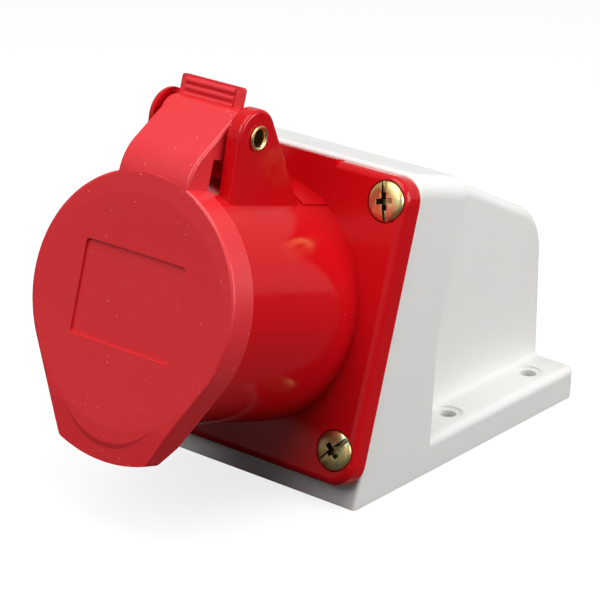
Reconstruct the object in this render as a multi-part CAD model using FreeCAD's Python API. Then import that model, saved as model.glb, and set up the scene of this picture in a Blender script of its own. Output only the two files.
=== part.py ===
import FreeCAD, Part
import os
from math import acos, atan2, cos, pi, radians, sin, sqrt, tan

# Surface-mounted industrial socket outlet with a sprung lid, for three phases and earth.
#
# Part frame: the wall face is Z = 0 with +Z out of the wall, +Y runs along the wall from the
# socket end to the cable end, and the origin is the centre of the wall face.
# Box frame: the same, but Y counts from the front edge of the box.
# Socket frame: Z is the collar's axis pointing outwards from the front plane of the box,
# X is the width, and Y runs up the inclined front. Its origin is on the collar's axis.

V = FreeCAD.Vector

# Wall box, a white moulding
box_width = 87.0
box_length = 119.3
box_wall = 2.8
box_floor = 3.0
socket_tilt = 14.6
head_height = 99.1
head_depth = 25.0
head_rear_y = 37.2
head_corner_r = 6.0
head_rear_bend_r = 30.0
head_edge_r = 1.2
rear_width = 58.6
rear_draft = 1.8
rear_top_drop = 24.1
rear_step = 0.3
rear_corner_r = 19.0
rear_edge_r = 3.5
flange_thickness = 10.6
flange_corner_r = 3.4
flange_edge_r = 2.6
flange_root_r = 2.0
flange_skin = 3.0

# Fixing holes in the flange
fixing_pitch_x = 70.0
fixing_pitch_y = 45.0
fixing_rear_margin = 15.5
fixing_hole_d = 5.4
fixing_recess_d = 9.4
fixing_recess_depth = 0.7
fixing_boss_d = 13.0

# Cable entry in the rear end wall
entry_hole_d = 27.0
entry_height = 27.5
cable_bore_d = 14.0
grommet_lip = 2.4
grommet_lip_width = 3.0
grommet_web = 2.2
grommet_sleeve = 2.6

# Cover plate of the socket housing
collar_height = 53.0
plate_width = 88.6
plate_top = 45.0
plate_bottom = -46.4
plate_front = 7.6
plate_gap = 0.4
plate_skin = 3.0
plate_skirt = 4.5
plate_corner_r = 7.2
plate_edge_r = 2.4
opening_lip = 2.3
opening_lip_depth = 4.0
pad_half_width = 18.0
pad_rise = 0.25
pad_top_rise = 0.3

# Cover screws and their threaded inserts
screw_pitch_x = 74.6
screw_low_y = -36.0
screw_high_y = 37.5
screw_head_d = 11.8
screw_head_h = 2.6
screw_recess_d = 12.4
screw_recess_depth = 1.6
screw_shank_d = 4.9
screw_length = 18.0
screw_slot_width = 1.3
screw_slot_depth = 1.2
screw_hole_d = 5.3
insert_d = 7.0
insert_bore_d = 5.0
insert_length = 10.0
insert_sink = 2.0
post_d = 11.0

# Gasket between box and cover
gasket_width = 1.6
gasket_depth = 1.4
gasket_inset = 2.3
gasket_fit = 0.05

# Collar
collar_base_r = 36.35
collar_front_r = 35.6
collar_front = 57.2
collar_bore_r = 32.6
collar_floor = 8.0
collar_floor_skin = 3.0
lip_r = 33.7
lip_height = 2.0
key_width = 8.4
key_depth = 1.7

# Hinge
pivot_y = 49.9
pivot_z = 46.9
ear_gap_half = 13.4
ear_right_face = 18.0
ear_left_face = 15.6
ear_r = 7.85
ear_front_z = 52.9
ear_rear_z = 19.6
ear_right_edge_r = 1.1
ear_left_edge_r = 1.6
rivet_d = 5.6
rivet_bore_d = 4.8
rivet_flange_d = 7.2
rivet_flange_h = 0.9
running_clearance = 0.06
stop_half_width = 8.0
stop_rear_z = 33.6
stop_front_z = 37.6
stop_top_y = 43.3

# Lid
lid_r = 35.8
lid_depth = 9.05
lid_gap = 0.15
lid_face = 4.2
lip_clearance = 0.4
tip_r = 46.2
tip_half_width = 16.0
tip_corner_r = 2.2
lid_edge_r = 0.9
dish_r = 33.0
dish_depth = 0.9
dish_drop = 3.5
crease_r = 20.5
crease_drop = 20.0
crease_spread = 3.3
lip_fall_y = -33.0
lip_fall = 0.055
panel_width = 36.3
panel_height = 27.3
panel_x = -1.0
panel_y = -0.7
panel_depth = 0.5
panel_corner_r = 1.4
tip_pocket_wall = 2.4
tip_slope_y = -37.5
tip_lip_depth = 4.8

# Hinge arm of the lid and its thumb tab
arm_half_width = 12.5
arm_bend_r = 14.0
arm_slope_reach = 105.5
arm_notch_y = 42.2
arm_side_wall = 2.0
arm_skin = 1.8
arm_knuckle_r = 6.2
arm_overlap = 6.0
arm_inner_bend_r = 7.0
arm_end_r = 1.5
arm_end_rise = 2.2
tab_x = -0.5
tab_half_width = 11.0
tab_corner_r = 0.9
tab_top_y = 62.2
tab_front_z = 47.4
tab_thickness = 1.5
rib_r = 1.0
rib_pitch = 2.05
rib_start_x = -9.5
rib_end_x = 7.9
rib_top_margin = 1.6
rib_count = 3

# Lid gasket
seal_squeeze_gap = 0.3
seal_width = 2.8
seal_fit = 0.1
seal_rib_width = 1.4
seal_rib_height = 1.6

# Lid spring
spring_wire_d = 0.9
spring_inner_clearance = 0.2
spring_turns = 8
spring_pitch = 1.45
spring_steps = 10
spring_sides = 6
spring_leg_lift = 14.0
spring_leg_length = 7.6
spring_rib_top_y = 39.6

# Contact carrier
carrier_r = 27.0
carrier_fit = 0.2
carrier_face_depth = 6.0
carrier_rear = -14.0
carrier_wall = 2.2
carrier_face_skin = 3.0
carrier_flange_r = 32.0
carrier_flange_h = 4.0
contact_circle_r = 17.0
earth_angle = 105.0
face_hole_clearance = 1.0
socket_tower_wall = 1.8
carrier_screw_circle_r = 29.6
carrier_screw_d = 2.9
carrier_screw_head_d = 5.0
carrier_screw_head_h = 2.0
carrier_screw_length = 7.0
retainer_h = 3.0
retainer_r = 24.0
retainer_screw_d = 3.9
retainer_screw_head_d = 7.4
retainer_screw_head_h = 2.4
retainer_screw_length = 16.0

# Contacts: slotted brass sleeves with screw terminals
phase_pin_d = 6.0
earth_pin_d = 8.0
pin_clearance = 0.1
sleeve_wall = 1.4
sleeve_depth = 40.0
phase_face_inset = 4.0
earth_face_inset = 2.0
sleeve_slot = 0.8
sleeve_slot_length = 22.0
sleeve_fit = 0.1
collar_stop_h = 2.0
collar_stop_w = 0.9
terminal_length = 17.0
wire_bore_d = 4.6
terminal_screw_d = 3.9
terminal_screw_length = 5.5
terminal_screw_pitch = 7.0
ring_wire_d = 0.8
ring_back = 6.0


def wall_point(v, n):
    # Box frame Y and Z of a point v up the inclined front and n out of it
    t = radians(socket_tilt)
    return (v * sin(t) - n * cos(t), n * sin(t) + v * cos(t))


def socket_in_box(shape):
    # Socket frame to box frame
    y, z = wall_point(collar_height, 0)
    placed = shape.copy()
    turn = FreeCAD.Rotation(V(1, 0, 0), 90 - socket_tilt)
    placed.Placement = FreeCAD.Placement(V(0, y, z), turn).multiply(placed.Placement)
    return placed


def from_box(shape):
    # Box frame to part frame
    placed = shape.copy()
    placed.translate(V(0, -box_length / 2, 0))
    return placed


def from_socket(shape):
    return from_box(socket_in_box(shape))


def disc(r, z0, z1, x=0.0, y=0.0):
    return Part.makeCylinder(r, z1 - z0, V(x, y, z0))


def ring(r_out, r_in, z0, z1, x=0.0, y=0.0):
    return disc(r_out, z0, z1, x, y).cut(disc(r_in, z0 - 1, z1 + 1, x, y))


def bar_x(r, x0, x1, y, z):
    # Round bar along X
    return Part.makeCylinder(r, x1 - x0, V(x0, y, z), V(1, 0, 0))


def block(x0, x1, y0, y1, z0, z1):
    return Part.makeBox(x1 - x0, y1 - y0, z1 - z0, V(x0, y0, z0))


def rounded_block(half_x, y0, y1, z0, z1, r):
    # Block centred on X = 0 with its four edges along Z rounded
    solid = block(-half_x, half_x, y0, y1, z0, z1)
    return solid.makeFillet(r, [e for e in solid.Edges if along(e, 2)])


def along(edge, axis):
    # True for a straight edge parallel to an axis, 0 for X, 1 for Y and 2 for Z
    if edge.Curve.TypeId != "Part::GeomLine":
        return False
    d = edge.tangentAt(edge.FirstParameter)
    return abs(abs(d[axis]) - 1) < 1e-6


def profile(points, x0, x1):
    # Solid along X from a Y, Z outline whose corners may carry a radius
    wire = rounded_wire([p if len(p) == 3 else (p[0], p[1], 0.0) for p in points], x0)
    return Part.Face(wire).extrude(V(x1 - x0, 0, 0))


def rounded_wire(points, x):
    edges = []
    count = len(points)
    ends = []
    for i, (y, z, r) in enumerate(points):
        here = V(x, y, z)
        before = V(x, points[i - 1][0], points[i - 1][1])
        after = V(x, points[(i + 1) % count][0], points[(i + 1) % count][1])
        if r == 0:
            ends.append((here, here, None))
            continue
        a = (before - here).normalize()
        b = (after - here).normalize()
        half = acos(max(-1.0, min(1.0, a.dot(b)))) / 2
        run = r / tan(half)
        middle = (a + b).normalize()
        crown = here + middle * (r / sin(half) - r)
        ends.append((here + a * run, here + b * run, crown))
    for i, (start, finish, crown) in enumerate(ends):
        if crown is not None:
            edges.append(Part.Arc(start, crown, finish).toShape())
        following = ends[(i + 1) % count][0]
        if finish.distanceToPoint(following) > 1e-6:
            edges.append(Part.LineSegment(finish, following).toShape())
    return Part.Wire(edges)


def revolve(points):
    # Solid of revolution about Z from an R, Z outline
    corners = [V(r, 0, z) for r, z in points]
    face = Part.Face(Part.makePolygon(corners + corners[:1]))
    return face.revolve(V(0, 0, 0), V(0, 0, 1), 360)


def flat_sided(low, high):
    # Solid between two outlines with the same number of corners and flat sides between them
    faces = [Part.Face(Part.makePolygon(low + low[:1])), Part.Face(Part.makePolygon(high + high[:1]))]
    for i in range(len(low)):
        j = (i + 1) % len(low)
        faces.append(Part.Face(Part.makePolygon([low[i], low[j], high[j], high[i], low[i]])))
    return Part.makeSolid(Part.makeShell(faces))


def save(name, shape):
    solid = shape.removeSplitter() if len(shape.Solids) == 1 else shape
    solid.exportStep("parts/" + name + ".step")


# Wall box

def head_corner():
    # Box frame height where the inclined rear of the head meets its upright rear
    t = radians(socket_tilt)
    v = (head_rear_y - head_depth * cos(t)) / sin(t)
    return wall_point(v, -head_depth)


def head_block():
    y_bend, z_bend = head_corner()
    outline = [(0, 0), wall_point(head_height, 0), wall_point(head_height, -head_depth)]
    outline += [(head_rear_y, z_bend, head_rear_bend_r), (head_rear_y, 0)]
    solid = profile(outline, -box_width / 2, box_width / 2)
    y_top, z_top = wall_point(head_height, 0)
    y_back, z_back = wall_point(head_height, -head_depth)
    middle = V(0, (y_top + y_back) / 2, (z_top + z_back) / 2)
    tops = [e for e in solid.Edges if abs(e.CenterOfMass.y - middle.y) < 0.01
            and abs(e.CenterOfMass.z - middle.z) < 0.01 and abs(e.CenterOfMass.x) > 1]
    solid = solid.makeFillet(head_corner_r, tops)
    fronts = [e for e in solid.Edges if abs(e.BoundBox.YMin) < 0.01 and e.Length > head_height / 2
              and abs(abs(e.CenterOfMass.x) - box_width / 2) < 0.01]
    return solid.makeFillet(head_edge_r, fronts)


def rear_top(y):
    # Box frame height of the rear part's sloping top
    y_back, z_back = wall_point(head_height, -head_depth)
    return z_back - rear_step - (y - y_back) * tan(radians(rear_top_drop))


def drafted_block(half_x, y_end, height):
    # Block that narrows upwards on both sides and at its rear end
    lean = tan(radians(rear_draft))
    levels = []
    for z in (0.0, height):
        x = half_x + (flange_thickness - z) * lean
        y = y_end + (flange_thickness - z) * lean
        low = head_rear_y - head_depth / 2
        levels.append([V(-x, low, z), V(x, low, z), V(x, y, z), V(-x, y, z)])
    return flat_sided(levels[0], levels[1])


def rear_block(inset, low_z):
    # Narrow rear part, or its cavity when inset by the wall
    y_back = wall_point(head_height, -head_depth)[0]
    start = y_back - 1.0 - inset
    y_end = box_length - inset
    top_start = rear_top(start) - inset
    top_end = rear_top(y_end + 20) - inset
    corner_y = y_end - (rear_top(y_end) - flange_thickness) * tan(radians(rear_draft))
    side = [(head_rear_y - head_depth / 4, low_z), (head_rear_y - head_depth / 4, top_start - head_depth)]
    side += [(start, top_start), (y_end + 20, top_end), (y_end + 20, low_z)]
    wide = profile(side, -box_width, box_width)
    solid = drafted_block(rear_width / 2 - inset, y_end, head_height).common(wide)
    corner = [e for e in solid.Edges if along(e, 0) and abs(e.CenterOfMass.y - corner_y) < 1.5
              and e.CenterOfMass.z > head_height / 3]
    solid = solid.makeFillet(rear_corner_r - inset, corner)
    edge_r = max(rear_edge_r - inset, 1.0)
    rim = [e for e in solid.Edges if on_rear_rim(e, inset, low_z, y_back)]
    return solid.makeFillet(edge_r, rim)


def on_rear_rim(edge, inset, low_z, y_back):
    # Edges between the sides of the rear part and its top and end wall
    c = edge.CenterOfMass
    lean = tan(radians(rear_draft))
    side_x = rear_width / 2 - inset + (flange_thickness - c.z) * lean
    level = edge.BoundBox.ZMax - edge.BoundBox.ZMin < 0.01
    beyond = c.y > y_back + 1
    return beyond and abs(abs(c.x) - side_x) < 0.5 and not (level and c.z < low_z + 1)


def flange_plate():
    solid = rounded_block(box_width / 2, head_rear_y / 2, box_length, 0, flange_thickness, flange_corner_r)
    inner = block(-box_width, box_width, 0, head_rear_y - 1, -1, flange_thickness + 1)
    solid = solid.cut(inner)
    rim = [e for e in solid.Edges if abs(e.BoundBox.ZMin - flange_thickness) < 0.01
           and e.CenterOfMass.y > head_rear_y]
    return solid.makeFillet(flange_edge_r, rim)


def flange_roots(body):
    # Fillets between the sides of the rear part and the flange
    roots = [e for e in body.Edges if along(e, 1) and abs(e.CenterOfMass.z - flange_thickness) < 0.01
             and abs(abs(e.CenterOfMass.x) - rear_width / 2) < 0.01]
    return body.makeFillet(flange_root_r, roots)


def fixing_points():
    y_rear = box_length - fixing_rear_margin
    return [(sx * fixing_pitch_x / 2, y) for y in (y_rear - fixing_pitch_y, y_rear) for sx in (-1, 1)]


def flange_pockets():
    # Hollows under the flange on both sides, round solid bosses for the fixing screws
    lean = tan(radians(rear_draft)) * flange_thickness
    x_in = rear_width / 2 + lean + 1.0
    x_out = box_width / 2 - flange_skin
    y0 = head_rear_y + flange_skin
    y1 = box_length - flange_skin - 2.0
    depth = flange_thickness - flange_skin
    pockets = block(x_in, x_out, y0, y1, 0, depth).fuse(block(-x_out, -x_in, y0, y1, 0, depth))
    for x, y in fixing_points():
        pockets = pockets.cut(disc(fixing_boss_d / 2, -1, flange_thickness, x, y))
    return pockets


def head_cavity():
    y_bend, z_bend = head_corner()
    sill = collar_height + plate_bottom + plate_skirt
    t = radians(socket_tilt)
    floor_v = (box_floor + opening_lip_depth * sin(t)) / cos(t)
    top = head_height - box_wall
    outline = [wall_point(sill, opening_lip_depth), wall_point(sill, -opening_lip_depth)]
    outline += [wall_point(floor_v, -opening_lip_depth)]
    outline += [(head_rear_y - box_wall, box_floor)]
    outline += [(head_rear_y - box_wall, z_bend, head_rear_bend_r)]
    outline += [wall_point(top, -(head_depth - box_wall)), wall_point(top, opening_lip_depth)]
    half = box_width / 2 - box_wall
    cavity = profile(outline, -half, half)
    low = sill - collar_height
    high = top - collar_height
    frame = block(-box_width, box_width, low - 30, high + 30, -opening_lip_depth, 30)
    mouth = rounded_block(half - opening_lip, low, high - opening_lip, -opening_lip_depth - 1, 20,
                          plate_corner_r / 2)
    return cavity.cut(socket_in_box(frame.cut(mouth)))


def screw_points():
    return [(sx * screw_pitch_x / 2, y) for y in (screw_low_y, screw_high_y) for sx in (-1, 1)]


def cover_posts():
    # Posts for the inserts, in the socket frame
    length = insert_sink + insert_length + box_wall
    posts = [disc(post_d / 2, -length, 0, x, y) for x, y in screw_points()]
    return posts[0].multiFuse(posts[1:])


def cover_post_holes():
    holes = []
    for x, y in screw_points():
        holes.append(disc(insert_d / 2, -insert_sink - insert_length, -insert_sink, x, y))
        holes.append(disc(screw_hole_d / 2, -insert_sink - 1, 1, x, y))
    return holes[0].multiFuse(holes[1:])


def gasket_loop(z0, z1, fit):
    # Closed loop of square cord just inside the edge of the plate
    bounds = []
    for inset in (gasket_inset + fit, gasket_inset + gasket_width - fit):
        bounds.append((plate_width / 2 - inset, plate_bottom + inset, plate_top - inset, inset))
    x, low, high, inset = bounds[0]
    outer = rounded_block(x, low, high, z0, z1, plate_corner_r - inset)
    x, low, high, inset = bounds[1]
    return outer.cut(rounded_block(x, low, high, z0 - 1, z1 + 1, plate_corner_r - inset))


def entry_cylinder(r, low, high):
    # Round bar square to the leaning end wall, measured from its outer face outwards
    lean = radians(rear_draft)
    y = box_length - (entry_height - flange_thickness) * tan(lean)
    out = V(0, cos(lean), sin(lean))
    return Part.makeCylinder(r, high - low, V(0, y, entry_height) + out * low, out)


def wall_box():
    shell = head_block().fuse(rear_block(0.0, 0.0))
    shell = flange_roots(shell.fuse(flange_plate()).removeSplitter())
    shell = shell.cut(block(-box_width, box_width, box_length, box_length + 5, -1, flange_thickness))
    shell = shell.cut(head_cavity()).cut(rear_block(box_wall, box_floor))
    inside = block(-box_width / 2 + 0.5, box_width / 2 - 0.5, 0.5, box_length, 0.5, 2 * head_height)
    posts = socket_in_box(cover_posts()).common(inside).common(head_block())
    shell = shell.fuse(posts)
    shell = shell.cut(socket_in_box(cover_post_holes()))
    shell = shell.cut(socket_in_box(gasket_loop(-gasket_depth, 1.0, 0.0)))
    shell = shell.cut(flange_pockets())
    for x, y in fixing_points():
        shell = shell.cut(disc(fixing_hole_d / 2, -1, flange_thickness + 1, x, y))
        shell = shell.cut(disc(fixing_recess_d / 2, flange_thickness - fixing_recess_depth,
                               flange_thickness + 1, x, y))
    return shell.cut(entry_cylinder(entry_hole_d / 2, -2 * box_wall, 5))


# Socket housing: cover plate, collar and hinge ears in one moulding

def cover_plate():
    solid = rounded_block(plate_width / 2, plate_bottom, plate_top, plate_gap, plate_front, plate_corner_r)
    rim = [e for e in solid.Edges if abs(e.BoundBox.ZMin - plate_front) < 0.01]
    solid = solid.makeFillet(plate_edge_r, rim)
    pad = block(-pad_half_width, pad_half_width, collar_base_r / 2, plate_top + pad_top_rise,
                plate_gap + plate_skin, plate_front + pad_rise / 2)
    return solid.fuse(pad)


def plate_hollow():
    half_x = plate_width / 2 - plate_skirt
    top = plate_front - plate_skin
    hollow = rounded_block(half_x, plate_bottom + plate_skirt, plate_top - plate_skirt, plate_gap - 1, top,
                           plate_corner_r / 2)
    for x, y in screw_points():
        hollow = hollow.cut(disc(post_d / 2, plate_gap - 2, top + 1, x, y))
    return hollow


def ear_outline():
    # Side view of one ear: straight front and rear edges tangent to the round top
    fy, fz = pivot_y - ear_front_base_y(), pivot_z - ear_front_z
    reach = sqrt(fy * fy + fz * fz)
    front_angle = atan2(fz, fy)
    lean = acos(ear_r / reach)
    base = V(0, ear_front_base_y(), ear_front_z)
    toward = atan2(base.z - pivot_z, base.y - pivot_y)
    front_touch = tangent_point(toward - lean)
    ry, rz = ear_front_base_y() - pivot_y, ear_rear_z - pivot_z
    rear_reach = sqrt(ry * ry + rz * rz)
    rear_lean = acos(ear_r / rear_reach)
    rear_touch = tangent_point(atan2(rz, ry) + rear_lean)
    return front_touch, rear_touch


def ear_front_base_y():
    return sqrt(collar_front_r ** 2 - ear_right_face ** 2) - 1.0


def tangent_point(angle):
    return (pivot_y + ear_r * cos(angle), pivot_z + ear_r * sin(angle))


def ear(x0, x1, outer_x, edge_r):
    front, rear = ear_outline()
    y_base = ear_front_base_y()
    start = V(x0, y_base, ear_front_z)
    end = V(x0, y_base, ear_rear_z)
    foot_y = collar_bore_r - 2 * key_depth - 6
    low_a = V(x0, foot_y, ear_front_z)
    low_b = V(x0, foot_y, ear_rear_z)
    touch_a = V(x0, front[0], front[1])
    touch_b = V(x0, rear[0], rear[1])
    crown = V(x0, pivot_y + ear_r, pivot_z)
    edges = [Part.LineSegment(low_a, start).toShape(), Part.LineSegment(start, touch_a).toShape()]
    edges += [Part.Arc(touch_a, crown, touch_b).toShape(), Part.LineSegment(touch_b, end).toShape()]
    edges += [Part.LineSegment(end, low_b).toShape(), Part.LineSegment(low_b, low_a).toShape()]
    solid = Part.Face(Part.Wire(edges)).extrude(V(x1 - x0, 0, 0))
    rim = [e for e in solid.Edges if abs(e.BoundBox.XMin - outer_x) < 0.01
           and abs(e.BoundBox.XMax - outer_x) < 0.01 and e.CenterOfMass.y > y_base + 1]
    return solid.makeFillet(edge_r, rim)


def collar():
    return revolve([(0, plate_gap), (collar_base_r, plate_gap), (collar_base_r, plate_front),
                    (collar_front_r, collar_front), (lip_r, collar_front),
                    (lip_r, collar_front + lip_height), (0, collar_front + lip_height)])


def raised_band():
    # Slide-core witness behind the ears: the collar stands slightly proud there
    y0 = collar_bore_r / 2
    proud = revolve([(0, plate_front - 1), (collar_base_r + 2 * pad_rise, plate_front - 1),
                     (collar_base_r + 2 * pad_rise, ear_rear_z), (0, ear_rear_z)])
    window = block(-pad_half_width, pad_half_width, y0, 2 * collar_base_r, 0, collar_front)
    return proud.common(window)


def collar_hollow():
    shape = disc(collar_bore_r, collar_floor, collar_front + lip_height + 1)
    shape = shape.fuse(disc(carrier_r + carrier_fit, plate_gap - 1, collar_floor + 1))
    step = collar_floor - collar_floor_skin
    shape = shape.fuse(disc(carrier_flange_r + carrier_fit, plate_gap - 1, step))
    key = block(-key_width / 2, key_width / 2, -collar_bore_r - key_depth, 0,
                collar_floor, collar_front + lip_height + 1)
    return shape.fuse(key.cut(disc(collar_bore_r / 2, 0, 2 * collar_front)))


def carrier_screw_points():
    return [(carrier_screw_circle_r * sin(radians(a)), carrier_screw_circle_r * cos(radians(a)))
            for a in (60, 180, 300)]


def socket_housing():
    body = cover_plate().cut(plate_hollow())
    body = body.fuse(collar()).fuse(raised_band())
    body = body.fuse(ear(ear_gap_half, ear_right_face, ear_right_face, ear_right_edge_r))
    body = body.fuse(ear(-ear_left_face, -ear_gap_half, -ear_left_face, ear_left_edge_r))
    body = body.fuse(block(-stop_half_width, stop_half_width, collar_bore_r + 1, stop_top_y,
                           stop_rear_z, stop_front_z))
    body = body.fuse(spring_rib())
    body = body.cut(collar_hollow())
    body = body.cut(bar_x(rivet_d / 2, -2 * ear_left_face, 2 * ear_right_face, pivot_y, pivot_z))
    for x, y in screw_points():
        body = body.cut(disc(screw_hole_d / 2, plate_gap - 1, plate_front + 1, x, y))
        body = body.cut(disc(screw_recess_d / 2, plate_front - screw_recess_depth, plate_front + 3, x, y))
    for x, y in carrier_screw_points():
        body = body.cut(disc(carrier_screw_d / 2, plate_gap, collar_floor - 0.8, x, y))
    return body


def hinge_rivet():
    tube_x0 = -ear_left_face - rivet_flange_h
    tube_x1 = ear_right_face + rivet_flange_h
    body = bar_x(rivet_d / 2, tube_x0, tube_x1, pivot_y, pivot_z)
    for x0, x1 in ((tube_x0, -ear_left_face), (ear_right_face, tube_x1)):
        body = body.fuse(bar_x(rivet_flange_d / 2, x0, x1, pivot_y, pivot_z))
    body = body.cut(bar_x(rivet_bore_d / 2, tube_x0 - 1, tube_x1 + 1, pivot_y, pivot_z))
    rims = [e for e in body.Edges if abs(e.BoundBox.XMax - e.BoundBox.XMin) < 0.01
            and abs(e.BoundBox.YMax - e.BoundBox.YMin - rivet_flange_d) < 0.01
            and (abs(e.CenterOfMass.x - tube_x0) < 0.01 or abs(e.CenterOfMass.x - tube_x1) < 0.01)]
    return body.makeFillet(rivet_flange_h * 0.8, rims)


# Lid

def lid_rear():
    return collar_front + lid_gap


def lid_front():
    return lid_rear() + lid_depth


def lid_plan(r, tip, half, z0, z1):
    # Round lid outline with straight flanks down to a broad arc-ended tip
    corner_y = -sqrt(tip ** 2 - half ** 2)
    swing = acos(r / tip)
    touch = atan2(corner_y, half) + swing
    right = V(r * cos(touch), r * sin(touch), z0)
    left = V(-right.x, right.y, z0)
    low_right = V(half, corner_y, z0)
    low_left = V(-half, corner_y, z0)
    edges = [Part.Arc(right, V(0, r, z0), left).toShape(), Part.LineSegment(left, low_left).toShape()]
    edges += [Part.Arc(low_left, V(0, -tip, z0), low_right).toShape()]
    edges += [Part.LineSegment(low_right, right).toShape()]
    return Part.Face(Part.Wire(edges)).extrude(V(0, 0, z1 - z0))


def lid_shell():
    body = lid_plan(lid_r, tip_r, tip_half_width, lid_rear(), lid_front())
    corners = [e for e in body.Edges if along(e, 2) and e.CenterOfMass.y < -lid_r]
    body = body.makeFillet(tip_corner_r, corners)
    rim = [e for e in body.Edges if abs(e.BoundBox.ZMin - lid_front()) < 0.01]
    return body.makeFillet(lid_edge_r, rim).cut(tip_underside()).fuse(arm_block())


def tip_underside():
    # Slanted cut behind the tip, which leaves a thinner lip for the fingers
    rise = (lid_depth - tip_lip_depth) / (tip_r + tip_slope_y)
    low = lid_rear() - 1
    points = [(tip_slope_y + 1 / rise, low), (tip_slope_y - 20, lid_rear() + 20 * rise)]
    return profile(points + [(tip_slope_y - 20, low)], -lid_r, lid_r)


def lid_face_cuts():
    sphere_r = (dish_r ** 2 + dish_depth ** 2) / (2 * dish_depth)
    centre = V(0, -dish_drop, lid_front() - dish_depth + sphere_r)
    near = disc(dish_r + 1, lid_front() - 3, lid_front() + 1, 0, -dish_drop)
    dish = Part.makeSphere(sphere_r, centre).common(near)
    floor = lid_front() - dish_depth - panel_depth
    y0 = panel_y - panel_height / 2
    panel = rounded_block(panel_width / 2, y0, y0 + panel_height, floor, lid_front() + 1, panel_corner_r)
    panel.translate(V(panel_x, 0, 0))
    return dish.fuse(panel).fuse(lip_cut())


def lip_cut():
    # The finger lip falls away behind a crease that curves across the lower end of the face
    front = lid_front()
    end = -tip_r - 2
    points = [(lip_fall_y, front), (end, front + (end - lip_fall_y) * lip_fall)]
    wedge = profile(points + [(end, front + 1), (lip_fall_y, front + 1)], -lid_r, lid_r)
    kept = Part.makeCone(crease_r + 1.5 * crease_spread, crease_r - 1.5 * crease_spread, 3.0,
                         V(0, -crease_drop, front - 1.5))
    return wedge.cut(kept)


def lid_hollow():
    inner_r = lip_r + lip_clearance
    hollow = disc(inner_r, lid_rear() - 1, lid_front() - lid_face)
    wall = tip_pocket_wall
    pocket = lid_plan(lid_r - wall, tip_r - wall, tip_half_width - wall, lid_rear() - 1,
                      lid_front() - lid_face)
    outside = disc(lid_r, lid_rear() - 2, lid_front())
    return hollow.fuse(pocket.cut(outside))


def seal_rib():
    r_out = lip_r + lip_clearance - seal_fit - seal_width - seal_fit
    z1 = lid_front() - lid_face + 0.2
    return ring(r_out, r_out - seal_rib_width, z1 - seal_rib_height, z1)


def arm_bend_start():
    # Where the arm's face leaves the plane of the lid
    return arm_slope_reach - lid_front() - arm_bend_r * tan(radians(22.5))


def arm_block():
    # Hinge arm from the lid's face over the slope to the thumb tab, with the hinge knuckles
    front = lid_front()
    slope_end_z = tab_front_z + arm_end_rise
    slope_end_y = arm_slope_reach - slope_end_z
    y_low = pivot_y - arm_knuckle_r
    points = [(arm_slope_reach - front, front, arm_bend_r), (slope_end_y, slope_end_z, arm_end_r)]
    points += [(slope_end_y + 0.4, tab_front_z), (slope_end_y + 0.4, tab_front_z - tab_thickness)]
    points += [(pivot_y + arm_knuckle_r * 0.86, pivot_z - arm_knuckle_r * 0.51)]
    points += [(pivot_y, pivot_z - arm_knuckle_r * 0.6), (y_low + 1.5, pivot_z)]
    points += [(arm_notch_y, pivot_z + arm_knuckle_r), (arm_notch_y, lid_rear())]
    points += [(lid_r - arm_overlap, lid_rear()), (lid_r - arm_overlap, front)]
    body = profile(points, -arm_half_width, arm_half_width)
    sides = [e for e in body.Edges if abs(abs(e.CenterOfMass.x) - arm_half_width) < 0.01
             and (e.CenterOfMass.y + e.CenterOfMass.z > lid_front() + arm_bend_start()
                  or e.BoundBox.ZMin > lid_front() - 0.01)]
    body = body.makeFillet(lid_edge_r, sides)
    return body.fuse(bar_x(arm_knuckle_r, -arm_half_width, arm_half_width, pivot_y, pivot_z))


def arm_hollow():
    half = arm_half_width - arm_side_wall
    front = lid_front() - arm_skin - 0.4
    reach = arm_slope_reach - arm_skin * sqrt(2)
    top_y = pivot_y + spring_outer_r() + 0.2
    low_y = lid_r - 0.2
    low_z = pivot_z - 3 * arm_knuckle_r
    tab_rear_z = tab_front_z - tab_thickness
    points = [(low_y, low_z), (low_y, front), (reach - front, front, arm_inner_bend_r)]
    points += [(top_y, reach - top_y), (top_y, tab_rear_z)]
    points += [(tab_top_y - 3, tab_rear_z), (tab_top_y - 3, low_z)]
    return profile(points, -half, half)


def spring_outer_r():
    return spring_mean_r() + spring_wire_d / 2


def thumb_tab():
    z0 = tab_front_z - tab_thickness
    low_y = pivot_y + arm_knuckle_r - 1.2
    body = rounded_block(tab_half_width, low_y, tab_top_y, z0, tab_front_z, tab_corner_r)
    body.translate(V(tab_x, 0, 0))
    for i in range(rib_count):
        y = tab_top_y - rib_top_margin - i * rib_pitch
        rib = bar_x(rib_r, rib_start_x, rib_end_x, y, tab_front_z - rib_r / 3)
        body = body.fuse(rib.cut(block(-arm_half_width, arm_half_width, 0, 2 * tab_top_y, 0, z0)))
    return body


def lid():
    body = lid_shell().fuse(thumb_tab())
    body = body.cut(lid_face_cuts()).cut(lid_hollow()).cut(arm_hollow())
    body = body.fuse(seal_rib())
    bore = rivet_d / 2 + running_clearance
    return body.cut(bar_x(bore, -2 * arm_half_width, 2 * arm_half_width, pivot_y, pivot_z))


def lid_gasket():
    r_out = lip_r + lip_clearance - seal_fit
    z0 = collar_front + lip_height + seal_squeeze_gap
    return ring(r_out, r_out - seal_width, z0, lid_front() - lid_face)


def spring_mean_r():
    return rivet_d / 2 + spring_inner_clearance + spring_wire_d / 2


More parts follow.
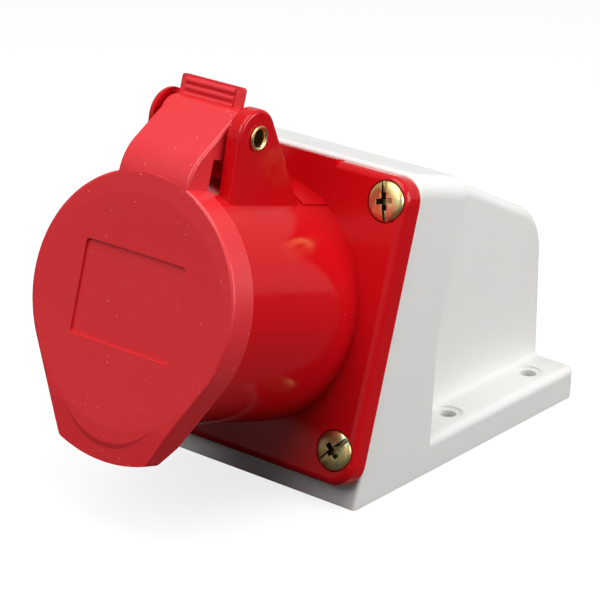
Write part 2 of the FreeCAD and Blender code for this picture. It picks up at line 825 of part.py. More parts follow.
def wire_along(path, r, sides):
    # Closed wire of a small polygon section through the points of a path
    rings = []
    side = V(1, 0, 0)
    for i, point in enumerate(path):
        ahead = path[min(i + 1, len(path) - 1)] - path[max(i - 1, 0)]
        ahead.normalize()
        side = (side - ahead * side.dot(ahead)).normalize()
        up = ahead.cross(side)
        angles = [2 * pi * k / sides for k in range(sides)]
        rings.append([point + side * (r * cos(a)) + up * (r * sin(a)) for a in angles])
    faces = [Part.Face(Part.makePolygon(end + end[:1])) for end in (rings[0], rings[-1])]
    for low, high in zip(rings, rings[1:]):
        for k in range(sides):
            m = (k + 1) % sides
            faces.append(Part.Face(Part.makePolygon([low[k], low[m], high[m], low[k]])))
            faces.append(Part.Face(Part.makePolygon([low[k], high[m], high[k], low[k]])))
    return Part.makeSolid(Part.makeShell(faces))


def lid_spring():
    # Torsion spring round the rivet: one leg behind a rib on the collar, one behind the thumb tab
    r = spring_mean_r()
    sweep = radians(360 * spring_turns + spring_leg_lift)
    half = spring_half_length()
    low = V(-half, collar_base_r + 1.0, pivot_z - r)
    path = [low]
    steps = spring_steps * spring_turns
    for i in range(steps + 1):
        a = sweep * i / steps
        path.append(V(-half + 2 * half * i / steps, pivot_y + r * sin(a), pivot_z - r * cos(a)))
    lift = radians(spring_leg_lift)
    path.append(path[-1] + V(0, cos(lift), sin(lift)) * spring_leg_length)
    return wire_along(path, spring_wire_d / 2, spring_sides)


def spring_half_length():
    return (spring_turns + spring_leg_lift / 360) * spring_pitch / 2


def spring_rib():
    # Rib on the collar that holds the spring's lower leg
    x = spring_wire_d - spring_half_length()
    z = pivot_z - spring_mean_r() + spring_wire_d / 2 + 0.05
    return block(x - 2, x + 2, collar_bore_r + 1, spring_rib_top_y, z, z + 2.4)


# Contact carrier

def contact_angles():
    # Clock angles of the contacts, counted from the top; earth is at the keyway
    return {"contact_l1": -(180 - earth_angle), "contact_l2": 0.0,
            "contact_l3": 180 - earth_angle, "contact_earth": 180.0}


def contact_place(name):
    a = radians(contact_angles()[name])
    return contact_circle_r * sin(a), contact_circle_r * cos(a)


def contact_sizes(name):
    # Pin diameter and inset of the sleeve's mouth behind the carrier's face
    if name == "contact_earth":
        return earth_pin_d, earth_face_inset
    return phase_pin_d, phase_face_inset


def carrier_face():
    return collar_front - carrier_face_depth


def sleeve_r(name):
    return contact_sizes(name)[0] / 2 + pin_clearance / 2 + sleeve_wall


def contact_carrier():
    face = carrier_face()
    body = disc(carrier_r, carrier_rear, face)
    rim = [e for e in body.Edges if abs(e.CenterOfMass.z - face) < 0.01]
    body = body.makeFillet(1.0, rim)
    body = body.cut(disc(carrier_r - carrier_wall, carrier_rear - 1, face - carrier_face_skin))
    flange_front = collar_floor - collar_floor_skin
    body = body.fuse(ring(carrier_flange_r, carrier_r - carrier_wall, flange_front - carrier_flange_h,
                          flange_front))
    body = body.fuse(disc(retainer_screw_d / 2 + 2.4, carrier_rear, face - 1))
    for name in contact_angles():
        x, y = contact_place(name)
        tower_r = sleeve_r(name) + sleeve_fit + socket_tower_wall
        body = body.fuse(disc(tower_r, carrier_rear, face - 1, x, y))
    for name in contact_angles():
        x, y = contact_place(name)
        pin_d, inset = contact_sizes(name)
        fit_r = sleeve_r(name) + sleeve_fit
        body = body.cut(disc(fit_r, carrier_rear - 1, face - inset, x, y))
        body = body.cut(disc(fit_r + collar_stop_w, carrier_rear - 1, carrier_rear + collar_stop_h, x, y))
        body = body.cut(disc((pin_d + face_hole_clearance) / 2, carrier_rear - 1, face + 1, x, y))
    body = body.cut(disc(retainer_screw_d / 2, carrier_rear - 1, carrier_rear + retainer_screw_length))
    for x, y in carrier_screw_points():
        body = body.cut(disc(carrier_screw_d / 2 + 0.15, flange_front - carrier_flange_h - 1,
                             flange_front + 1, x, y))
    return body


def contact(name):
    # Slotted sleeve in front, stop collar in the middle and screw terminal behind
    pin_d = contact_sizes(name)[0]
    r = sleeve_r(name)
    mouth = carrier_face() - contact_sizes(name)[1]
    rear = carrier_rear - retainer_h - terminal_length
    body = disc(r, rear, mouth)
    body = body.fuse(disc(r + collar_stop_w, carrier_rear, carrier_rear + collar_stop_h))
    body = body.cut(disc((pin_d + pin_clearance) / 2, mouth - sleeve_depth, mouth + 1))
    for turn in (45, 135):
        slot = block(-2 * r, 2 * r, -sleeve_slot / 2, sleeve_slot / 2,
                     mouth - sleeve_slot_length, mouth + 1)
        slot.rotate(V(0, 0, 0), V(0, 0, 1), turn)
        body = body.cut(slot)
    groove_z = mouth - ring_back
    body = body.cut(ring(r + 1, r - ring_wire_d, groove_z - ring_wire_d / 2, groove_z + ring_wire_d / 2))
    body = body.cut(disc(wire_bore_d / 2, rear - 1, rear + terminal_length - 2))
    for z in terminal_heights():
        body = body.cut(Part.makeCylinder(terminal_screw_d / 2, r + 1, V(0, 0, z), V(0, 1, 0)))
    return placed_contact(body, name)


def terminal_heights():
    rear = carrier_rear - retainer_h - terminal_length
    return [rear + terminal_screw_pitch * (i + 0.5) for i in range(2)]


def placed_contact(shape, name):
    # From the carrier's axis to a contact's place, with +Y turned outwards
    placed = shape.copy()
    placed.translate(V(0, contact_circle_r, 0))
    placed.rotate(V(0, 0, 0), V(0, 0, 1), -contact_angles()[name])
    return placed


def terminal_screws():
    screws = []
    low = wire_bore_d / 2 - 0.4
    top = low + terminal_screw_length
    for name in contact_angles():
        for z in terminal_heights():
            screw = Part.makeCylinder(terminal_screw_d / 2 - 0.05, top - low, V(0, low, z), V(0, 1, 0))
            screw = screw.cut(block(-0.4, 0.4, top - 1, top + 1, z - 3, z + 3))
            screws.append(placed_contact(screw, name))
    return Part.makeCompound(screws)


def contact_spring_rings():
    rings = []
    for name in contact_angles():
        z = carrier_face() - contact_sizes(name)[1] - ring_back
        wire = Part.makeTorus(sleeve_r(name) - ring_wire_d / 2, ring_wire_d / 2 - 0.05, V(0, 0, z))
        rings.append(placed_contact(wire, name))
    return Part.makeCompound(rings)


def contact_retainer():
    body = disc(retainer_r, carrier_rear - retainer_h, carrier_rear)
    for name in contact_angles():
        x, y = contact_place(name)
        hole_r = sleeve_r(name) + sleeve_fit
        body = body.cut(disc(hole_r, carrier_rear - retainer_h - 1, carrier_rear + 1, x, y))
    return body.cut(disc(retainer_screw_d / 2 + 0.2, carrier_rear - retainer_h - 1, carrier_rear + 1))


def pan_screw(shank_d, length, head_d, head_h, slot_w, slot_depth):
    # Screw along Z: seat at Z = 0, head upwards, shank downwards
    head = disc(head_d / 2, 0, head_h)
    rim = [e for e in head.Edges if abs(e.CenterOfMass.z - head_h) < 0.01]
    head = head.makeFillet(head_h * 0.6, rim)
    screw = head.fuse(disc(shank_d / 2, -length, 0))
    slot = block(-head_d, head_d, -slot_w / 2, slot_w / 2, head_h - slot_depth, head_h + 1)
    return screw.cut(slot)


def retainer_screw():
    screw = pan_screw(retainer_screw_d - 0.1, retainer_screw_length - 3, retainer_screw_head_d,
                      retainer_screw_head_h, 1.0, 1.0)
    screw.rotate(V(0, 0, 0), V(1, 0, 0), 180)
    screw.translate(V(0, 0, carrier_rear - retainer_h))
    return screw


def carrier_screws():
    screws = []
    seat = collar_floor - collar_floor_skin - carrier_flange_h
    for x, y in carrier_screw_points():
        screw = pan_screw(carrier_screw_d - 0.1, carrier_screw_length - 1.5, carrier_screw_head_d,
                          carrier_screw_head_h, 0.8, 0.8)
        screw.rotate(V(0, 0, 0), V(1, 0, 0), 180)
        screw.translate(V(x, y, seat))
        screws.append(screw)
    return Part.makeCompound(screws)


def cover_screws():
    screws = []
    for x, y in screw_points():
        screw = pan_screw(screw_shank_d, screw_length, screw_head_d, screw_head_h, screw_slot_width,
                          screw_slot_depth)
        screw.translate(V(x, y, plate_front - screw_recess_depth))
        screws.append(screw)
    return Part.makeCompound(screws)


def cover_inserts():
    z1 = -insert_sink
    return Part.makeCompound([ring(insert_d / 2, insert_bore_d / 2, z1 - insert_length, z1, x, y)
                              for x, y in screw_points()])


def cover_gasket():
    return gasket_loop(-gasket_depth, plate_gap, gasket_fit)


def cable_grommet():
    # Rubber grommet whose groove grips the end wall, with a web round the cable
    r = entry_hole_d / 2
    body = entry_cylinder(r, -box_wall - grommet_lip, grommet_lip)
    body = body.fuse(entry_cylinder(r + grommet_lip_width, 0, grommet_lip))
    body = body.fuse(entry_cylinder(r + grommet_lip_width, -box_wall - grommet_lip, -box_wall))
    outer = [e for e in body.Edges if e.Length > 6 * r and e.CenterOfMass.y > box_length + 1]
    body = body.makeFillet(grommet_lip * 0.6, outer)
    inner_end = grommet_lip - grommet_web
    body = body.cut(entry_cylinder(r - grommet_sleeve, -box_wall - 2 * grommet_lip, inner_end))
    return body.cut(entry_cylinder(cable_bore_d / 2, -3 * box_wall, 3 * grommet_lip))


os.makedirs("parts", exist_ok=True)
save("wall_box", from_box(wall_box()))
save("cable_grommet", from_box(cable_grommet()))
save("cover_gasket", from_socket(cover_gasket()))
save("socket_housing", from_socket(socket_housing()))
save("hinge_rivet", from_socket(hinge_rivet()))
save("lid", from_socket(lid()))
save("lid_gasket", from_socket(lid_gasket()))
save("lid_spring", from_socket(lid_spring()))
save("contact_carrier", from_socket(contact_carrier()))
save("contact_retainer", from_socket(contact_retainer()))
for name in contact_angles():
    save(name, from_socket(contact(name)))
save("contact_spring_rings", from_socket(contact_spring_rings()))
save("terminal_screws", from_socket(terminal_screws()))
save("retainer_screw", from_socket(retainer_screw()))
save("carrier_screws", from_socket(carrier_screws()))
save("cover_screws", from_socket(cover_screws()))
save("cover_inserts", from_socket(cover_inserts()))
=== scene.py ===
import bpy
from math import cos, pi, radians, sin
from mathutils import Euler, Matrix, Vector


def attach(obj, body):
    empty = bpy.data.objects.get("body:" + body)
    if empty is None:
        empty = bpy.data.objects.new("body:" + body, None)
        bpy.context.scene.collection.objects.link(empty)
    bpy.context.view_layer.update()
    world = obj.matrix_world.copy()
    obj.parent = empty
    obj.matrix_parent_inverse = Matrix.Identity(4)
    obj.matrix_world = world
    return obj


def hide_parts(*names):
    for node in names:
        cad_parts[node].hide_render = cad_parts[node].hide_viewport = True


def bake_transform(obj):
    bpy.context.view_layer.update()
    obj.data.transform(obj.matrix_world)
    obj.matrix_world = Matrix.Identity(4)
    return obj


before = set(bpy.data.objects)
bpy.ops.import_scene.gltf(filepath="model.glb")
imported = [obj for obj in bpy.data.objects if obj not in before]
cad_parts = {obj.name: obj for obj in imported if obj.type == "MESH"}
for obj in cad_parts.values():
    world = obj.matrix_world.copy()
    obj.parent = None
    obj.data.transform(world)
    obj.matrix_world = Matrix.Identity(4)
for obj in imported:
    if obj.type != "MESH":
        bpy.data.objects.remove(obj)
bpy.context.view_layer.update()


# Wall box
# The box is a thick white moulding in a heat-resistant polyamide blend with a fine satin skin.
# It lies on its back on the wall, and it has picked up a few grey specks in handling.

MM = 0.001


def linear(hex_colour):
    # sRGB hex to the linear values that the shaders take
    values = []
    for i in (1, 3, 5):
        c = int(hex_colour[i:i + 2], 16) / 255
        values.append(c / 12.92 if c <= 0.04045 else ((c + 0.055) / 1.055) ** 2.4)
    return (*values, 1.0)


def new_material(name, colour, roughness, ior=1.5, metallic=0.0):
    # A material with its main shader set from the real finish
    mat = bpy.data.materials.new(name)
    mat.use_nodes = True
    shader = mat.node_tree.nodes["Principled BSDF"]
    shader.inputs["Base Color"].default_value = linear(colour)
    shader.inputs["Roughness"].default_value = roughness
    shader.inputs["Metallic"].default_value = metallic
    if metallic == 0.0:
        shader.inputs["IOR"].default_value = ior
    return mat, shader


def add_node(mat, kind, settings=None, links=None):
    # Adds one shader node with its settings by name, and links by input name to (node, output)
    node = mat.node_tree.nodes.new(kind)
    for key, value in (settings or {}).items():
        if key in node.inputs:
            node.inputs[key].default_value = value
        else:
            setattr(node, key, value)
    for key, (source, output) in (links or {}).items():
        mat.node_tree.links.new(source.outputs[output], node.inputs[key])
    return node


def plug_in(mat, source, output, shader, socket):
    mat.node_tree.links.new(source.outputs[output], shader.inputs[socket])


def per_mm(size_mm):
    # Texture scale for a pattern whose features are that many millimetres across
    return 1.0 / (size_mm * MM)


def moulded_skin(mat, shader, grain_mm, depth_mm, roughness):
    # The slight unevenness of a moulding: a soft grain in the skin and cloudier, shinier patches
    where = add_node(mat, "ShaderNodeTexCoord")
    grain = add_node(mat, "ShaderNodeTexNoise", {"Scale": per_mm(grain_mm), "Detail": 3.0},
                     {"Vector": (where, "Object")})
    sink = add_node(mat, "ShaderNodeTexNoise", {"Scale": per_mm(grain_mm * 22), "Detail": 1.0},
                    {"Vector": (where, "Object")})
    relief = add_node(mat, "ShaderNodeMath", {"operation": "MULTIPLY_ADD"},
                      {0: (sink, "Fac"), 2: (grain, "Fac")})
    relief.inputs[1].default_value = 5.0
    bump = add_node(mat, "ShaderNodeBump", {"Strength": 1.0, "Distance": depth_mm * MM},
                    {"Height": (relief, "Value")})
    plug_in(mat, bump, "Normal", shader, "Normal")
    patches = add_node(mat, "ShaderNodeTexNoise", {"Scale": per_mm(9.0), "Detail": 4.0},
                       {"Vector": (where, "Object")})
    spread = add_node(mat, "ShaderNodeMapRange", {"From Min": 0.3, "From Max": 0.7,
                      "To Min": roughness[0], "To Max": roughness[1]}, {"Value": (patches, "Fac")})
    plug_in(mat, spread, "Result", shader, "Roughness")
    return where


def specks(mat, where, spacing_mm, radius_mm, share):
    # Small round specks: one in so many cells of a scattered grid holds one
    cells = add_node(mat, "ShaderNodeTexVoronoi", {"Scale": per_mm(spacing_mm)},
                     {"Vector": (where, "Object")})
    inside = add_node(mat, "ShaderNodeMath", {"operation": "LESS_THAN"}, {0: (cells, "Distance")})
    inside.inputs[1].default_value = radius_mm / spacing_mm
    chosen = add_node(mat, "ShaderNodeSeparateColor", {}, {"Color": (cells, "Color")})
    lucky = add_node(mat, "ShaderNodeMath", {"operation": "LESS_THAN"}, {0: (chosen, "Red")})
    lucky.inputs[1].default_value = share
    both = add_node(mat, "ShaderNodeMath", {"operation": "MULTIPLY"},
                    {0: (inside, "Value"), 1: (lucky, "Value")})
    return both


def paint_over(mat, base, mask, colour, shader, strength=1.0):
    # Mixes a colour over the base where the mask is 1; base is a hex colour or (node, output)
    amount = mask
    if strength < 1.0:
        amount = add_node(mat, "ShaderNodeMath", {"operation": "MULTIPLY"}, {0: (mask, "Value")})
        amount.inputs[1].default_value = strength
    mix = add_node(mat, "ShaderNodeMix", {"data_type": "RGBA"})
    mat.node_tree.links.new(amount.outputs["Value"], mix.inputs[0])
    if isinstance(base, str):
        mix.inputs[6].default_value = linear(base)
    else:
        mat.node_tree.links.new(base[0].outputs[base[1]], mix.inputs[6])
    mix.inputs[7].default_value = linear(colour)
    mat.node_tree.links.new(mix.outputs[2], shader.inputs["Base Color"])
    return mix


def dress(node_name, mat, angle=35):
    # Gives a carried-over node its finish and shades its curved faces smooth
    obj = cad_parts[node_name]
    obj.data.materials.clear()
    obj.data.materials.append(mat)
    bpy.ops.object.select_all(action="DESELECT")
    bpy.context.view_layer.objects.active = obj
    obj.select_set(True)
    bpy.ops.object.shade_smooth_by_angle(angle=radians(angle))
    return obj


white_hex = "#ecebe8"
white_moulding, shader = new_material("white satin polyamide", white_hex, 0.42)
where = moulded_skin(white_moulding, shader, 0.55, 0.006, (0.36, 0.5))
dirt = specks(white_moulding, where, 11.0, 0.28, 0.22)
paint_over(white_moulding, white_hex, dirt, "#8d8a84", shader, 0.8)
shader.inputs["Specular IOR Level"].default_value = 0.36
# Light spreads a little inside the white polymer, which softens its edges and small recesses
shader.inputs["Subsurface Weight"].default_value = 0.3
shader.inputs["Subsurface Radius"].default_value = (1.0, 0.9, 0.8)
shader.inputs["Subsurface Scale"].default_value = 2.2 * MM
dress("wall_box", white_moulding)


# Cover gasket
# A dark sponge-rubber cord in the groove round the box's opening. Only its edge shows, as a
# thin dark line behind the red cover.

dark_rubber, shader = new_material("dark sponge rubber", "#2b2927", 0.85)
moulded_skin(dark_rubber, shader, 0.3, 0.02, (0.78, 0.95))
dress("cover_gasket", dark_rubber)


# Socket housing
# Cover plate, collar and hinge ears are one glossy red moulding, polished in the tool, so it
# mirrors the screws and the light above it.

red_hex = "#cb0c15"
red_gloss, shader = new_material("red polished polyamide", red_hex, 0.14)
where = moulded_skin(red_gloss, shader, 0.9, 0.0015, (0.1, 0.19))
dust = specks(red_gloss, where, 4.5, 0.19, 0.3)
paint_over(red_gloss, red_hex, dust, "#e6868a", shader, 0.6)
shader.inputs["Specular IOR Level"].default_value = 0.27
dress("socket_housing", red_gloss)


# Lid
# The sprung lid is moulded in the same red but with a satin outer face, dulled by handling. It
# carries fine specks of dust and the faintest scuffs.

lid_hex = "#dc2a31"
red_satin, shader = new_material("red satin polyamide", lid_hex, 0.42)
where = moulded_skin(red_satin, shader, 0.6, 0.006, (0.3, 0.44))
large = specks(red_satin, where, 5.5, 0.24, 0.25)
small = specks(red_satin, where, 2.1, 0.15, 0.22)
dust = add_node(red_satin, "ShaderNodeMath", {"operation": "MAXIMUM"},
                {0: (large, "Value"), 1: (small, "Value")})
# Scuffs are short and lie across the lid, where cloths and cables have rubbed it
lie = add_node(red_satin, "ShaderNodeMapping", {"Rotation": (0.0, 0.35, 0.0), "Scale": (0.16, 1.0, 1.0)},
               {"Vector": (where, "Object")})
rubbing = add_node(red_satin, "ShaderNodeTexNoise", {"Scale": per_mm(0.8), "Detail": 2.0},
                   {"Vector": (lie, "Vector")})
scuffs = add_node(red_satin, "ShaderNodeMapRange", {"From Min": 0.66, "From Max": 0.74, "To Max": 0.07},
                  {"Value": (rubbing, "Fac")})
worn = add_node(red_satin, "ShaderNodeMath", {"operation": "MAXIMUM"},
                {0: (dust, "Value"), 1: (scuffs, "Result")})
paint_over(red_satin, lid_hex, worn, "#eeb4b4", shader, 0.85)
dress("lid", red_satin)


# Hinge rivet
# A drawn brass tube, rolled over at both ends against the ears, so each end is a bright rounded
# ring round a dark bore.

# The inclined front's own frame: its origin is on the collar's axis, with X across, Y up the
# front and Z out along the collar
front_tilt_deg = 14.6
front_frame = (Matrix.Translation((0, -46.292 * MM, 51.289 * MM))
               @ Matrix.Rotation(radians(90 - front_tilt_deg), 4, "X"))
hinge_y, hinge_z = 49.9, 46.9
hinge_line = (front_frame @ Matrix.Translation((0, hinge_y * MM, hinge_z * MM))
              @ Matrix.Rotation(pi / 2, 4, "Y"))


def turned(name, outline, segments, hollow=False):
    # A piece turned about Z: a circle carried along an outline of (radius, height) in millimetres
    bpy.ops.object.select_all(action="DESELECT")
    bpy.ops.mesh.primitive_circle_add(vertices=segments, radius=outline[0][0] * MM,
                                      fill_type="NOTHING" if hollow else "NGON")
    obj = bpy.context.object
    obj.name = name
    bpy.ops.object.mode_set(mode="EDIT")
    bpy.ops.mesh.select_all(action="SELECT")
    bpy.ops.transform.translate(value=(0, 0, outline[0][1] * MM))
    for (r0, z0), (r1, z1) in zip(outline, outline[1:]):
        bpy.ops.mesh.extrude_region_move(TRANSFORM_OT_translate={"value": (0, 0, (z1 - z0) * MM)})
        bpy.ops.transform.resize(value=(r1 / r0, r1 / r0, 1), center_override=(0, 0, z1 * MM))
    bpy.ops.mesh.select_all(action="SELECT")
    bpy.ops.mesh.remove_doubles(threshold=1e-6)
    bpy.ops.mesh.normals_make_consistent(inside=False)
    bpy.ops.object.mode_set(mode="OBJECT")
    return obj


def settle(obj, place, mat, body="base", angle=35):
    # Puts a finished piece in its place, keeps that place in its mesh and fixes it to its body,
    # if it has one body
    obj.matrix_world = place
    bpy.ops.object.select_all(action="DESELECT")
    bpy.context.view_layer.objects.active = obj
    obj.select_set(True)
    bpy.ops.object.transform_apply(location=True, rotation=True, scale=True)
    bpy.ops.object.shade_smooth_by_angle(angle=radians(angle))
    obj.data.materials.clear()
    obj.data.materials.append(mat)
    if body:
        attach(obj, body)
    return obj


brass, shader = new_material("drawn brass", "#dcc38a", 0.22, metallic=1.0)
where = add_node(brass, "ShaderNodeTexCoord")
draw_marks = add_node(brass, "ShaderNodeTexNoise", {"Scale": per_mm(1.2), "Detail": 3.0},
                      {"Vector": (where, "Object")})
spread = add_node(brass, "ShaderNodeMapRange", {"To Min": 0.14, "To Max": 0.34},
                  {"Value": (draw_marks, "Fac")})
plug_in(brass, spread, "Result", shader, "Roughness")

rolled_end = [(2.8, 17.9), (3.3, 18.0), (3.55, 18.2), (3.6, 18.45), (3.5, 18.7), (3.25, 18.87),
              (2.95, 18.86), (2.65, 18.66), (2.46, 18.3), (2.4, 17.8)]
# The ears differ in thickness, so the far end lies nearer the middle
ear_difference = 2.4
other_end = [(r, ear_difference - z) for r, z in reversed(rolled_end)]
rivet = turned("rolled_hinge_rivet", rolled_end + other_end + rolled_end[:1], 56, hollow=True)
settle(rivet, hinge_line, brass)
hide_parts("hinge_rivet")


# Contacts and inserts
# Turned brass: slotted sleeves with a screw terminal behind, and the threaded inserts moulded
# into the box.

for name in ("cover_inserts", "contact_l1", "contact_l2", "contact_l3", "contact_earth"):
    dress(name, brass)


# Lid spring
# Bright spring wire wound in eight close turns round the rivet, with one leg under a rib on the
# collar and the other behind the thumb tab.

wire, shader = new_material("bright spring wire", "#b9bcbf", 0.3, metallic=1.0)
where = add_node(wire, "ShaderNodeTexCoord")
die_marks = add_node(wire, "ShaderNodeTexNoise", {"Scale": per_mm(0.8), "Detail": 2.0},
                     {"Vector": (where, "Object")})
spread = add_node(wire, "ShaderNodeMapRange", {"To Min": 0.2, "To Max": 0.42},
                  {"Value": (die_marks, "Fac")})
plug_in(wire, spread, "Result", shader, "Roughness")

wire_r, coil_r, coil_turns, coil_pitch, leg_lift = 0.45, 3.45, 8, 1.45, radians(14)
steps = 24 * coil_turns + 1
coil_half = (coil_turns + leg_lift / (2 * pi)) * coil_pitch / 2
sweep = 2 * pi * coil_turns + leg_lift
route = [(-coil_half, y, hinge_z - coil_r) for y in (37.35, 43.5)]
for i in range(steps + 1):
    a = sweep * i / steps
    route.append((-coil_half + 2 * coil_half * a / sweep, hinge_y + coil_r * sin(a),
                  hinge_z - coil_r * cos(a)))
route += [(route[-1][0], route[-1][1] + run * cos(leg_lift), route[-1][2] + run * sin(leg_lift))
          for run in (3.8, 7.6)]
curve = bpy.data.curves.new("wound_lid_spring", "CURVE")
curve.dimensions = "3D"
curve.bevel_depth = wire_r * MM
curve.bevel_resolution = 3
curve.use_fill_caps = True
spline = curve.splines.new("POLY")
spline.points.add(len(route) - 1)
for point, place in zip(spline.points, route):
    point.co = (*(v * MM for v in place), 1.0)
spring = bpy.data.objects.new("wound_lid_spring", curve)
bpy.context.collection.objects.link(spring)
bpy.ops.object.select_all(action="DESELECT")
bpy.context.view_layer.objects.active = spring
spring.select_set(True)
bpy.ops.object.convert(target="MESH")
spring = bpy.context.object
settle(spring, front_frame, wire, body=None, angle=60)
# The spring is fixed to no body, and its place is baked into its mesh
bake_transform(spring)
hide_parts("lid_spring")


# Contact rings and terminal screws
# The same wire closes the slotted sleeves, and the clamping screws are zinc-plated steel, which
# looks much like it.

for name in ("contact_spring_rings", "terminal_screws"):
    dress(name, wire)


# Screws
# Pressed steel pan heads with a slot and a cross in one recess. Yellow chromate over the zinc
# shimmers from gold to green and pink, and the polished heads mirror the red round them.

def set_ramp(node, stops):
    # Stops are (position, grey value or colour)
    ramp = node.color_ramp
    while len(ramp.elements) < len(stops):
        ramp.elements.new(0.5)
    for element, (position, value) in zip(ramp.elements, stops):
        element.position = position
        element.color = value if isinstance(value, tuple) else (value, value, value, 1.0)


yellow_zinc, shader = new_material("yellow passivated steel", "#d9c179", 0.2, metallic=1.0)
where = add_node(yellow_zinc, "ShaderNodeTexCoord")
film = add_node(yellow_zinc, "ShaderNodeTexNoise", {"Scale": per_mm(3.4), "Detail": 2.0},
                {"Vector": (where, "Object")})
tint = add_node(yellow_zinc, "ShaderNodeValToRGB", {}, {"Fac": (film, "Fac")})
set_ramp(tint, [(0.32, linear("#cf9f93")), (0.45, linear("#dcc07c")), (0.56, linear("#e2cf8e")),
                (0.68, linear("#b8c293"))])
plug_in(yellow_zinc, tint, "Color", shader, "Base Color")
press_marks = add_node(yellow_zinc, "ShaderNodeTexNoise", {"Scale": per_mm(0.9), "Detail": 3.0},
                       {"Vector": (where, "Object")})
dents = add_node(yellow_zinc, "ShaderNodeBump", {"Strength": 1.0, "Distance": 0.008 * MM},
                 {"Height": (press_marks, "Fac")})
plug_in(yellow_zinc, dents, "Normal", shader, "Normal")
spread = add_node(yellow_zinc, "ShaderNodeMapRange", {"To Min": 0.24, "To Max": 0.42},
                  {"Value": (press_marks, "Fac")})
plug_in(yellow_zinc, spread, "Result", shader, "Roughness")
for name in ("carrier_screws", "retainer_screw"):
    dress(name, yellow_zinc)


def carve(obj, size, place, taper):
    # Cuts a slot with sloping ends and sides into a piece, all in millimetres
    bpy.ops.object.select_all(action="DESELECT")
    bpy.ops.mesh.primitive_cube_add(size=1)
    tool = bpy.context.object
    tool.matrix_world = (Matrix.Translation(Vector(place) * MM)
                         @ Matrix.Diagonal((*(v * MM for v in size), 1)))
    bpy.ops.object.transform_apply(location=True, rotation=True, scale=True)
    for polygon in tool.data.polygons:
        polygon.select = polygon.normal.z < -0.9
    bpy.ops.object.mode_set(mode="EDIT")
    bpy.ops.mesh.select_mode(type="FACE")
    bpy.ops.transform.resize(value=(taper[0], taper[1], 1))
    bpy.ops.object.mode_set(mode="OBJECT")
    cut = obj.modifiers.new("recess", "BOOLEAN")
    cut.operation = "DIFFERENCE"
    cut.solver = "EXACT"
    cut.object = tool
    bpy.context.view_layer.objects.active = obj
    bpy.ops.object.modifier_apply(modifier=cut.name)
    bpy.data.objects.remove(tool)


head = turned("pan_head_screw", [(1.9, -18), (2.4, -17.4), (2.4, 0), (5.5, 0), (5.8, 0.12), (5.9, 0.4),
                                 (5.9, 1.1), (5.82, 1.5), (5.55, 1.88), (5.05, 2.16), (4.1, 2.38),
                                 (2.9, 2.52), (1.4, 2.58)], 72)
head_height = 2.6
cross_width, cross_length, cross_depth = 2.7, 9.4, 5.6
carve(head, (12.4, 1.75, 2.6), (0, 0, head_height), (1.0, 0.85))
carve(head, (cross_width, cross_length, cross_depth), (0, 0, head_height), (0.6, 0.55))
carve(head, (cross_length, cross_width, cross_depth), (0, 0, head_height), (0.55, 0.6))
soften = head.modifiers.new("rounded edges", "BEVEL")
soften.width = 0.09 * MM
soften.segments = 2
soften.limit_method = "ANGLE"
soften.angle_limit = radians(38)
bpy.context.view_layer.objects.active = head
bpy.ops.object.modifier_apply(modifier=soften.name)
# Painted shade: the faces down in the recess get a dull, dark brown film that stands in for the shadow
# inside the recess
painted_recess_shade, shader = new_material("painted shade in the recess", "#5a482c", 0.5, metallic=1.0)
where = add_node(painted_recess_shade, "ShaderNodeTexCoord")
recess_shade_noise = add_node(painted_recess_shade, "ShaderNodeTexNoise", {"Scale": per_mm(0.7), "Detail": 3.0},
                 {"Vector": (where, "Object")})
tint = add_node(painted_recess_shade, "ShaderNodeValToRGB", {}, {"Fac": (recess_shade_noise, "Fac")})
set_ramp(tint, [(0.35, linear("#2b2216")), (0.7, linear("#55452a"))])
plug_in(painted_recess_shade, tint, "Color", shader, "Base Color")
recess_r, recess_top, head_seat = 4.6, 2.05, 0.05
recess = [p.index for p in head.data.polygons
          if p.center.xy.length < recess_r * MM and head_seat * MM < p.center.z < recess_top * MM]
# Each screw's place on the cover in millimetres, and how far its slot is turned in degrees
screw_seat_z = 6.0
screw_places = [(37.3, 37.5, 105.9), (37.3, -36.0, 48.3), (-37.3, 37.5, 21.0), (-37.3, -36.0, 76.0)]
heads = [head]
for i in range(3):
    copy = head.copy()
    copy.data = head.data.copy()
    copy.name = "pan_head_screw_%d" % (i + 2)
    bpy.context.collection.objects.link(copy)
    heads.append(copy)
for screw, (x, y, turn_deg) in zip(heads, screw_places):
    place = (front_frame @ Matrix.Translation((x * MM, y * MM, screw_seat_z * MM))
             @ Matrix.Rotation(radians(turn_deg), 4, "Z"))
    settle(screw, place, yellow_zinc, angle=30)
    # Painted shade: the faces down in the recess take the dark film
    screw.data.materials.append(painted_recess_shade)
    for index in recess:
        screw.data.polygons[index].material_index = 1
    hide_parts("cover_screws")


# Contact carrier
# The insulating insert and its rear plate are black glass-filled polyamide, matt and slightly grainy.

black_moulding, shader = new_material("black glass-filled polyamide", "#1b1b1c", 0.5)
moulded_skin(black_moulding, shader, 0.4, 0.01, (0.42, 0.6))
for name in ("contact_carrier", "contact_retainer"):
    dress(name, black_moulding)


# Seals
# The lid's sealing ring and the cable grommet are soft black rubber.

seal_rubber, shader = new_material("black rubber", "#1d1c1b", 0.7)
moulded_skin(seal_rubber, shader, 0.5, 0.01, (0.6, 0.8))
for name in ("lid_gasket", "cable_grommet"):
    dress(name, seal_rubber)


# Camera
# A long lens from the front right and above, as the photograph was taken.

azimuth, elevation, roll = radians(36.75), radians(21.14), radians(2.74)
bpy.ops.object.camera_add(location=(427.9 * MM, -602.65 * MM, 316.5 * MM))
camera = bpy.context.object
turn = Euler((pi / 2 - elevation, 0, azimuth)).to_matrix() @ Matrix.Rotation(roll, 3, "Z")
camera.rotation_euler = turn.to_euler()
camera.data.sensor_width = 36.0
camera.data.lens = 152.26
camera.data.shift_x = -0.00825
camera.data.shift_y = 0.02955
camera.data.clip_start = 0.01
bpy.context.scene.camera = camera


# Studio
# A white table and white surroundings, a large soft light above, and weaker ones at the right and
# in front.

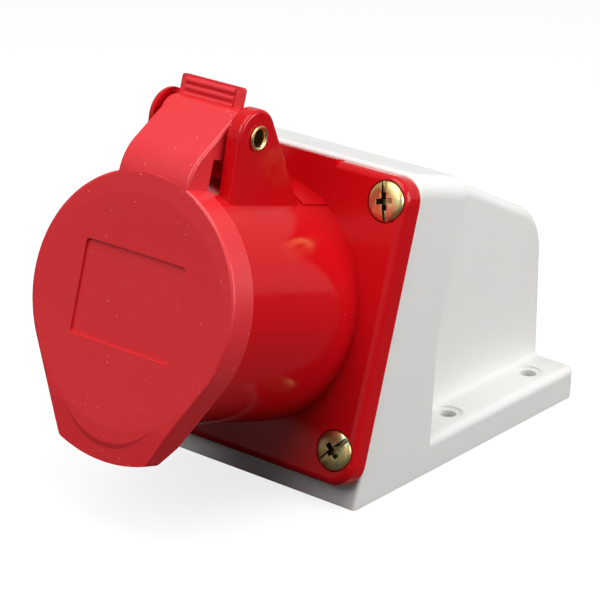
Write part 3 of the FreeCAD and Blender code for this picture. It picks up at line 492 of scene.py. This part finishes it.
bpy.ops.mesh.primitive_plane_add(size=6.0, location=(0, 0, -0.0002))
floor = bpy.context.object
floor.name = "table_top"
table = bpy.data.materials.new("white table")
table.use_nodes = True
table.node_tree.nodes.clear()
seen = add_node(table, "ShaderNodeLightPath")
# The table throws less light back on the object than its own tone would
tone = add_node(table, "ShaderNodeMapRange", {"To Min": 0.08, "To Max": 0.25},
                {"Value": (seen, "Is Camera Ray")})
paper = add_node(table, "ShaderNodeBsdfDiffuse", {}, {"Color": (tone, "Result")})
glow = add_node(table, "ShaderNodeEmission", {"Color": (1.0, 1.0, 1.0, 1.0)})
level = add_node(table, "ShaderNodeMath", {"operation": "MULTIPLY"}, {0: (seen, "Is Camera Ray")})
level.inputs[1].default_value = 0.8
table.node_tree.links.new(level.outputs["Value"], glow.inputs["Strength"])
total = add_node(table, "ShaderNodeAddShader", {}, {0: (paper, "BSDF"), 1: (glow, "Emission")})
add_node(table, "ShaderNodeOutputMaterial", {}, {"Surface": (total, "Shader")})
floor.data.materials.append(table)


def soft_light(name, place, aim, size, watts):
    bpy.ops.object.light_add(type="AREA", location=place)
    lamp = bpy.context.object
    lamp.name = name
    lamp.data.shape = "RECTANGLE"
    lamp.data.size, lamp.data.size_y = size
    lamp.data.energy = watts
    direction = Vector(aim) - Vector(place)
    lamp.rotation_euler = direction.to_track_quat("-Z", "Y").to_euler()


soft_light("overhead", (0.05, -0.25, 1.1), (0, -0.02, 0.03), (1.0, 0.9), 10.0)
soft_light("right", (1.0, 0.35, 0.45), (0, 0, 0.05), (0.9, 0.6), 9.4)
soft_light("front", (-0.1, -0.9, 0.75), (0, -0.05, 0.05), (0.7, 0.5), 5.0)

world = bpy.data.worlds.new("white surroundings")
bpy.context.scene.world = world
world.use_nodes = True
world.node_tree.nodes.clear()
sky = add_node(world, "ShaderNodeBackground", {"Color": (1.0, 1.0, 1.0, 1.0)})
seen = add_node(world, "ShaderNodeLightPath")
ray = add_node(world, "ShaderNodeMath", {"operation": "MAXIMUM"},
               {0: (seen, "Is Camera Ray"), 1: (seen, "Is Transmission Ray")})
# Bright metal shows the surroundings too, but less, as most of the studio is unlit
mirrored = add_node(world, "ShaderNodeMath", {"operation": "MULTIPLY"}, {0: (seen, "Is Glossy Ray")})
mirrored.inputs[1].default_value = 0.5
ray = add_node(world, "ShaderNodeMath", {"operation": "MAXIMUM"},
               {0: (ray, "Value"), 1: (mirrored, "Value")})
strength = add_node(world, "ShaderNodeMapRange", {"To Min": 0.07, "To Max": 1.0},
                    {"Value": (ray, "Value")})
world.node_tree.links.new(strength.outputs["Result"], sky.inputs["Strength"])
add_node(world, "ShaderNodeOutputWorld", {}, {"Surface": (sky, "Background")})

bpy.context.scene.view_settings.view_transform = "Standard"
